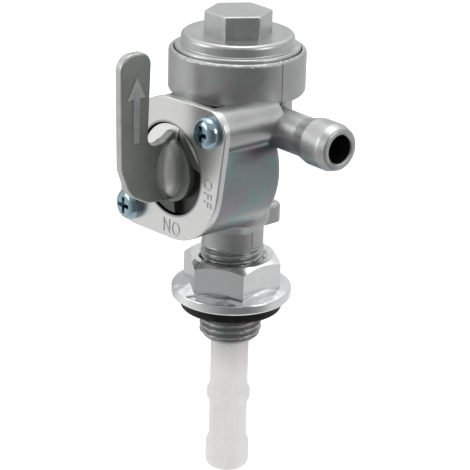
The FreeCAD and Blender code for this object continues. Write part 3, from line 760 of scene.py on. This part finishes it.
def lever_metal(name, base, tint):
    """Dark casting whose dome and raised arrow have been rubbed bright, and whose rounded rim is rubbed
    bright and partly a painted highlight.

    The rim is where the object-space normal leaves the fin's flat sides. The dome is where the distance
    from its middle, with each axis divided by the dome's half size, is under about 1.
    """
    mat, tree, shader = material(name)
    coords = tree.nodes.new("ShaderNodeTexCoord")
    place = coords.outputs["Object"]
    look = use_group(tree, CAST, {"Place": place, "Base": (*base, 1.0), "Tint": tint})
    facing = axes(tree, coords.outputs["Normal"])
    x, y, z = axes(tree, place)
    rim = spread(tree, calc(tree, "ABSOLUTE", facing[0]), 0.5, 0.97, 1.0, 0.0)
    raised = rises(tree, x, ARROW_SKIN_X)
    patchy = spread(tree, noise(tree, place, 420.0, detail=3.0), 0.3, 0.55, 0.6, 1.0)
    # The rim and the arrow are rubbed bright; on the rim this is partly a painted highlight
    worn_and_highlight = times(tree, calc(tree, "MAXIMUM", rim, raised), falls(tree, y, FIN_FOOT_Y), patchy)
    # The dome is polished by the thumb
    reach = vector(tree, "SUBTRACT", place, tuple(c * MM for c in DOME_MIDDLE))
    reach = vector(tree, "LENGTH", vector(tree, "MULTIPLY", reach, tuple(1 / (h * MM) for h in DOME_HALVES)))
    rubbed = times(tree, spread(tree, reach, 1.02, 1.1, 1.0, 0.0), falls(tree, y, DOME_FOOT_Y))
    # The rotor's stop face has been turned flat, so it is bright; its bright part is kept to its upper left,
    # partly a painted reflection
    depth = calc(tree, "ABSOLUTE", calc(tree, "SUBTRACT", y, ROTOR_BOSS_FACE * MM))
    on_face = falls(tree, depth, STOP_FACE_DEPTH)
    outward = spread(tree, facing[1], -0.95, -0.9, 1.0, 0.0)
    machined_and_sheen = times(tree, on_face, outward, rises(tree, z, STOP_FACE_Z), falls(tree, x, STOP_FACE_X))
    # The rotor's face, sunk in the drum, and the foot of the stop face are painted dark, a painted shade
    foot = times(tree, on_face, falls(tree, z, STOP_FACE_FOOT_Z))
    sunk = calc(tree, "MAXIMUM", foot, rises(tree, y, ROTOR_SUNK_Y))
    bright = calc(tree, "MAXIMUM", calc(tree, "MAXIMUM", worn_and_highlight, rubbed), machined_and_sheen)
    colour = look.outputs["Color"]
    for mask, own in ((rubbed, RUBBED_DOME), (worn_and_highlight, WORN_RIM_AND_HIGHLIGHT), (sunk, SUNK_FACE_PAINTED_SHADE), (machined_and_sheen, MACHINED_FACE_AND_SHEEN)):
        colour = mix_colour(tree, mask, colour, own)
    fill(tree, shader, {"Base Color": colour, "Roughness": spread(tree, bright, 0.0, 1.0, 0.5, 0.32),
                        "Normal": bump(tree, look.outputs["Height"], 0.35, distance=0.06), "Metallic": 0.8})
    return mat


def window_wall(tree, colour):
    """Colour of the plate with painted shade on the wall of its window, and the stop tongue darker grey.

    Both lie near the drum's axis. The wall's normal has no part along Y, and the tongue's is along Y.
    """
    coords = tree.nodes.new("ShaderNodeTexCoord")
    near = falls(tree, from_axis(tree, coords.outputs["Object"], (1.0, 0.0, 1.0), DRUM_Z), WINDOW_R)
    along = calc(tree, "ABSOLUTE", axes(tree, coords.outputs["Normal"])[1])
    # The window's wall is painted dark, a painted shade
    wall_painted_shade = spread(tree, along, 0.3, 0.6, 1.0, 0.0)
    colour = mix_colour(tree, times(tree, near, TONGUE_SHARE), colour, TONGUE_GREY)
    return mix_colour(tree, times(tree, near, wall_painted_shade), colour, WINDOW_WALL_PAINTED_SHADE)


def bright_steel(name, base, rough, stretch, streak=0.08, uneven=0.05, grain=0.12, window=False,
                 flange=False):
    """Bright steel with fine streaks, which vary its colour, roughness and height.

    window adds the plate's window wall with painted shade, and flange the nut's flange with painted shade
    and its shallow waves.
    """
    mat, tree, shader = material(name)
    place = object_place(tree)
    lines = use_group(tree, BRUSHED, {"Place": place, "Stretch": stretch}).outputs["Mask"]
    cloud = noise(tree, place, 240.0, detail=3.0)
    shade = spread(tree, calc(tree, "ADD", lines, cloud), 0.7, 1.3, 1.0 - streak, 1.0)
    colour = tinted(tree, base, grey(tree, shade))
    height = times(tree, lines, grain)
    if window:
        colour = window_wall(tree, colour)
    if flange:
        # The flange is painted darker, a painted shade, and carries shallow waves
        level = axes(tree, place)[2]
        flange_shade_and_waves = times(tree, rises(tree, level, FLANGE_FOOT_Z), falls(tree, level, FLANGE_TOP_Z))
        colour = tinted(tree, colour, FLANGE_PAINTED_SHADE, flange_shade_and_waves)
        waves = times(tree, noise(tree, place, 300.0, detail=1.0), flange_shade_and_waves, FLANGE_WAVES)
        height = calc(tree, "ADD", waves, height)
    fill(tree, shader, {"Base Color": colour,
                        "Roughness": middle_of(tree, lines, rough - uneven, rough + uneven),
                        "Normal": bump(tree, height, 1.0, distance=0.03), "Metallic": 1.0})
    return mat


def turned_metal(name, base, rough):
    """Turned cap: fine rings round the thread axis over a cast grey, as colour, roughness and height.

    The rings are noise over the distance from the axis and the height.
    """
    mat, tree, shader = material(name)
    place = object_place(tree)
    z = axes(tree, place)[2]
    along = node(tree, "ShaderNodeCombineXYZ", {0: from_axis(tree, place, (1.0, 1.0, 0.0)), 1: z}).outputs[0]
    rings = noise(tree, along, 2600.0, detail=2.0, rough=0.7)
    cloud = noise(tree, place, 170.0, detail=4.0, rough=0.6)
    shade = spread(tree, calc(tree, "MULTIPLY_ADD", cloud, 1.6, rings), 0.9, 1.7, 0.84, 1.06)
    below_head = times(tree, rings, falls(tree, z, CAP_DISC_Z))
    fill(tree, shader, {"Base Color": tinted(tree, base, grey(tree, shade)),
                        "Roughness": middle_of(tree, rings, rough - 0.05, rough + 0.06),
                        "Normal": bump(tree, below_head, 0.06, distance=0.03), "Metallic": 0.9})
    return mat


def rubber(name, base, rough, grain, shine):
    """Black rubber with a fine bloom; shine is how much of the room it mirrors."""
    mat, tree, shader = material(name)
    place = object_place(tree)
    cloud = noise(tree, place, 500.0, detail=4.0, rough=0.6)
    fine = noise(tree, place, 4200.0, detail=2.0)
    bloom = tuple(c * 2.2 + 0.006 for c in base)
    colour = mix_colour(tree, spread(tree, cloud, 0.4, 0.75, 0.0, 0.7), base, bloom)
    fill(tree, shader, {"Base Color": colour,
                        "Roughness": middle_of(tree, cloud, rough - 0.06, rough + 0.08),
                        "Normal": bump(tree, fine, grain, distance=0.03), "Specular IOR Level": shine})
    return mat


def nylon(name, base):
    """Milky nylon that light soaks into, with faint flow marks along the pipe.

    It is darker towards the stem, a painted shadow.
    """
    mat, tree, shader = material(name)
    place = object_place(tree)
    drawn = vector(tree, "MULTIPLY", place, (520.0, 520.0, 60.0))
    flow = noise(tree, drawn, 1.0, detail=3.0)
    # Painted shadow, darker towards the stem
    shade = spread(tree, axes(tree, place)[2], PIPE_SHADE_Z[0] * MM, PIPE_SHADE_Z[1] * MM, 1.0, PIPE_SHADE)
    milky = mix_colour(tree, middle_of(tree, flow, 0.0, 1.0), base, tuple(c * 0.93 for c in base))
    fill(tree, shader, {"Base Color": tinted(tree, milky, grey(tree, shade)),
                        "Roughness": middle_of(tree, flow, 0.36, 0.48),
                        "Normal": bump(tree, flow, 0.06, distance=0.05),
                        "Subsurface Weight": 0.45, "Subsurface Radius": (1.0, 0.9, 0.8),
                        "Subsurface Scale": 0.0016, "Specular IOR Level": 0.3})
    return mat


ZINC = body_metal("zinc_casting_look", (0.41, 0.42, 0.414), tint=(0.22, 0.8), grain=0.25)
LEVER = lever_metal("lever_casting_look", (0.26, 0.277, 0.256), tint=0.1)
PLATE = bright_steel("plate_steel_look", (0.68, 0.68, 0.675), rough=0.29, stretch=(260.0, 900.0, 2600.0),
                     streak=0.05, uneven=0.01, grain=0.015, window=True)
NUT = bright_steel("nut_steel_look", (0.78, 0.79, 0.795), rough=0.16, stretch=(500.0, 500.0, 1600.0),
                   grain=0.08, flange=True)
SCREW = bright_steel("screw_steel_look", (0.33, 0.44, 0.50), rough=0.14, stretch=(900.0, 300.0, 900.0),
                     streak=0.2)
SPRING = bright_steel("spring_steel_look", (0.55, 0.55, 0.54), rough=0.3, stretch=(900.0, 900.0, 900.0))
CAP = turned_metal("cap_metal_look", (0.47, 0.49, 0.482), rough=0.33)
SEAL = rubber("seal_rubber_look", (0.03, 0.03, 0.032), rough=0.4, grain=0.1, shine=0.35)
WASHER = rubber("washer_rubber_look", (0.004, 0.004, 0.0045), rough=0.46, grain=0.2, shine=0.2)
NYLON = nylon("nylon_look", (0.86, 0.84, 0.825))
# Floor of the stamped letters: its own finish, and darker as a painted shade
STAMP_FINISH_AND_SHADE = bright_steel("stamp_finish_and_shade_look", (0.52, 0.52, 0.52), rough=0.34, stretch=(900.0, 900.0, 900.0), grain=0.2)


def dress(piece, mat):
    """Give every slot of a piece one material."""
    if not piece.material_slots:
        piece.data.materials.append(mat)
    for place in piece.material_slots:
        place.material = mat
    return piece


# CAD nodes that stay as they are, and the three that the next pieces stand for
for solid, mat in (
    ("filter_cap", CAP), ("cap_seal", SEAL), ("strainer", NYLON), ("lever", LEVER), ("rotor_seal", SEAL),
    ("valve_packing", SEAL), ("wave_washer", SPRING), ("plate_screw_upper", SCREW),
    ("plate_screw_lower", SCREW), ("flange_nut", NUT), ("sealing_washer", WASHER), ("standpipe", NYLON),
    ("retainer_plate", PLATE), ("valve_body", ZINC),
):
    dress(NODES[solid], mat)

body = dress(body_casting("body_casting"), ZINC)
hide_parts("valve_body")
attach(body, "tap")

thread = dress(thread_piece("stem_thread"), ZINC)
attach(thread, "tap")

plate = stamped_plate("stamped_plate")
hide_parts("retainer_plate")
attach(plate, "tap")

cap = dress(cap_piece("dressed_cap"), CAP)
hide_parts("filter_cap")
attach(cap, "cap")

for line_name, profile in (("ring_parting_line", ring_profile()), ("neck_parting_line", neck_profile())):
    line = dress(parting_line(line_name, profile), ZINC)
    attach(line, "tap")

arrow = dress(raised_arrow("lever_arrow"), LEVER)
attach(arrow, "handle")


# Studio

# How bright the room looks in a mirror, at azimuths in degrees from +X towards +Y
ROOM = ((-180, 0.62), (-160, 0.88), (-140, 1.0), (-92, 0.56), (-67, 0.36), (-45, 0.23), (-10, 0.22),
        (10, 0.30), (26, 0.48), (41, 0.74), (90, 0.8), (125, 0.95), (150, 0.62), (180, 0.62))
ROOM_HIGH_FRONT = 0.72
ROOM_HIGH_BACK = 1.5
ROOM_BACK = 150
ROOM_BELOW = 0.95

# How bright the room is for matt surfaces, and the floor: height, half size and colour
AIR_LIGHT = 0.6
FLOOR_Z = -0.16
FLOOR_HALF = 3.0
FLOOR_COLOUR = (0.86, 0.86, 0.86, 1.0)

# Lamps that all aim at one point: name, place, size in metres and power in watts
LAMP_AIM = (0, 0, 0.02)
LAMPS = (("left_softbox", (-0.35, -0.75, 0.35), 0.5, 2.0), ("right_softbox", (0.85, 0.25, 0.4), 0.45, 2.0),
         ("top_softbox", (-0.1, 0.1, 0.9), 0.6, 2.5))

# Camera: azimuth from the plate's normal, height and roll in degrees, and its aim and distance in metres
CAMERA_DEGREES = (49.0, 21.364, 1.55)
CAMERA_DISTANCE = 0.42314
CAMERA_AIM = (0.0, 0.0, 0.016826)
SENSOR = 36.0
PHOTO_WIDTH = 470.0
FOCAL_PIXELS = 1899.6
SHIFT_PIXELS = 2.367


def studio_fade_group():
    """How bright the studio looks in a mirror, from the direction out of the object.

    Round the horizon it follows the ROOM values by azimuth, which are dark in front of the object. It
    goes over smoothly into one value below, and above into a light ceiling that is brighter at the back.
    """
    tree, ins, outs = new_group("studio_fade", [("Direction", "NodeSocketVector", (0, 0, 1))],
                                [("Brightness", "NodeSocketFloat")])
    unit = vector(tree, "NORMALIZE", ins.outputs["Direction"])
    x, y, z = axes(tree, unit)
    azimuth = spread(tree, calc(tree, "ARCTAN2", y, x), -np.pi, np.pi, 0.0, 1.0)
    curve = node(tree, "ShaderNodeValToRGB", {0: azimuth})
    stops = curve.color_ramp.elements
    while len(stops) < len(ROOM):
        stops.new(0.5)
    for stop, (degrees, level) in zip(stops, ROOM):
        stop.position = (degrees + 180) / 360
        stop.color = (level, level, level, 1.0)
    level = axes(tree, curve.outputs["Color"])[0]
    back_way = (np.cos(np.radians(ROOM_BACK)), np.sin(np.radians(ROOM_BACK)), 0.0)
    backward = vector(tree, "DOT_PRODUCT", unit, back_way)
    ceiling = spread(tree, backward, -0.3, 0.45, ROOM_HIGH_FRONT, ROOM_HIGH_BACK)
    for low, high, value in ((0.38, 0.66, ceiling), (-0.55, -0.85, ROOM_BELOW)):
        blend = spread(tree, z, low, high, 0.0, 1.0, curve="SMOOTHSTEP")
        level = calc(tree, "MULTIPLY_ADD", blend, calc(tree, "SUBTRACT", value, level), level)
    fill(tree, outs, {"Brightness": level})
    return tree


FADE = studio_fade_group()


def floor_look():
    """White floor with the object's shadow on it, which glows a little more the further it lies away.

    The glow is for the camera, and for what is seen through clear things. Mirrors see the floor as they
    see the room, by its direction from the object.
    """
    mat, tree = empty_material("floor_look")
    rays = tree.nodes.new("ShaderNodeLightPath").outputs
    place = object_place(tree)
    mirrored = rays["Is Glossy Ray"]
    seen = calc(tree, "MAXIMUM", rays["Is Camera Ray"], rays["Is Transmission Ray"])
    seen = calc(tree, "MAXIMUM", seen, mirrored)
    plain = spread(tree, vector(tree, "LENGTH", place), 0.35, 0.9, 0.55, 1.0)
    fade = use_group(tree, FADE, {"Direction": place}).outputs["Brightness"]
    strength = calc(tree, "ADD", times(tree, fade, mirrored),
                    times(tree, calc(tree, "SUBTRACT", 1.0, mirrored), plain))
    matte = node(tree, "ShaderNodeBsdfDiffuse", {"Color": FLOOR_COLOUR})
    shine = grey(tree, times(tree, strength, seen))
    glow = node(tree, "ShaderNodeEmission", {"Color": shine, "Strength": 1.0})
    lit = node(tree, "ShaderNodeAddShader", {0: matte.outputs[0], 1: glow.outputs[0]})
    both = node(tree, "ShaderNodeMixShader", {0: mirrored, 1: lit.outputs[0], 2: glow.outputs[0]})
    node(tree, "ShaderNodeOutputMaterial", {"Surface": both.outputs[0]})
    return mat


def pale_floor():
    """Plain square floor."""
    corners = [(x * FLOOR_HALF, y * FLOOR_HALF, FLOOR_Z) for x, y in ((-1, -1), (1, -1), (1, 1), (-1, 1))]
    mesh = bpy.data.meshes.new("floor")
    mesh.from_pydata(corners, [], [(0, 1, 2, 3)])
    floor = linked("floor", mesh)
    mesh.materials.append(floor_look())


def studio_world():
    """White to the camera and through clear things, graded in mirrors, and an even light on the rest."""
    world = bpy.data.worlds.new("studio")
    bpy.context.scene.world = world
    world.use_nodes = True
    air = world.node_tree
    air.nodes.clear()
    rays = air.nodes.new("ShaderNodeLightPath").outputs
    seen = calc(air, "MAXIMUM", rays["Is Camera Ray"], rays["Is Transmission Ray"])
    direction = air.nodes.new("ShaderNodeTexCoord").outputs["Generated"]
    mirror = use_group(air, FADE, {"Direction": direction}).outputs["Brightness"]
    white = (1.0, 1.0, 1.0, 1.0)
    soft = node(air, "ShaderNodeBackground", {"Color": white, "Strength": AIR_LIGHT}).outputs[0]
    shown = node(air, "ShaderNodeBackground", {"Color": grey(air, mirror), "Strength": 1.0}).outputs[0]
    bright = node(air, "ShaderNodeBackground", {"Color": white, "Strength": 1.0}).outputs[0]
    unseen = node(air, "ShaderNodeMixShader", {0: rays["Is Glossy Ray"], 1: soft, 2: shown}).outputs[0]
    either = node(air, "ShaderNodeMixShader", {0: seen, 1: unseen, 2: bright}).outputs[0]
    node(air, "ShaderNodeOutputWorld", {"Surface": either})


def area_light(name, place, size, power):
    """Soft square lamp at a place, aimed at the lamps' common point."""
    data = bpy.data.lights.new(name, "AREA")
    data.size = size
    data.energy = power
    lamp = linked(name, data)
    lamp.location = place
    lamp.rotation_euler = (Vector(LAMP_AIM) - Vector(place)).to_track_quat("-Z", "Y").to_euler()


def photo_camera():
    """Camera at the photograph's angle: it stands its distance back along the view from its aim."""
    azimuth, height, roll = np.radians(CAMERA_DEGREES)
    back = np.array([np.sin(azimuth) * np.cos(height), -np.cos(azimuth) * np.cos(height), np.sin(height)])
    right = np.array([np.cos(azimuth), np.sin(azimuth), 0.0])
    up = np.cross(back, right)
    rolled_right = right * np.cos(roll) + up * np.sin(roll)
    rolled_up = up * np.cos(roll) - right * np.sin(roll)
    turn = Matrix(np.column_stack([rolled_right, rolled_up, back]).tolist()).to_4x4()
    lens = bpy.data.cameras.new("camera")
    lens.sensor_width = SENSOR
    lens.lens = SENSOR * FOCAL_PIXELS / PHOTO_WIDTH
    lens.shift_x = SHIFT_PIXELS / PHOTO_WIDTH
    lens.clip_start = 0.01
    camera = linked("camera", lens)
    camera.matrix_world = Matrix.Translation((CAMERA_AIM + CAMERA_DISTANCE * back).tolist()) @ turn
    bpy.context.scene.camera = camera


pale_floor()
studio_world()
for lamp in LAMPS:
    area_light(*lamp)
photo_camera()
bpy.context.scene.view_settings.view_transform = "Standard"
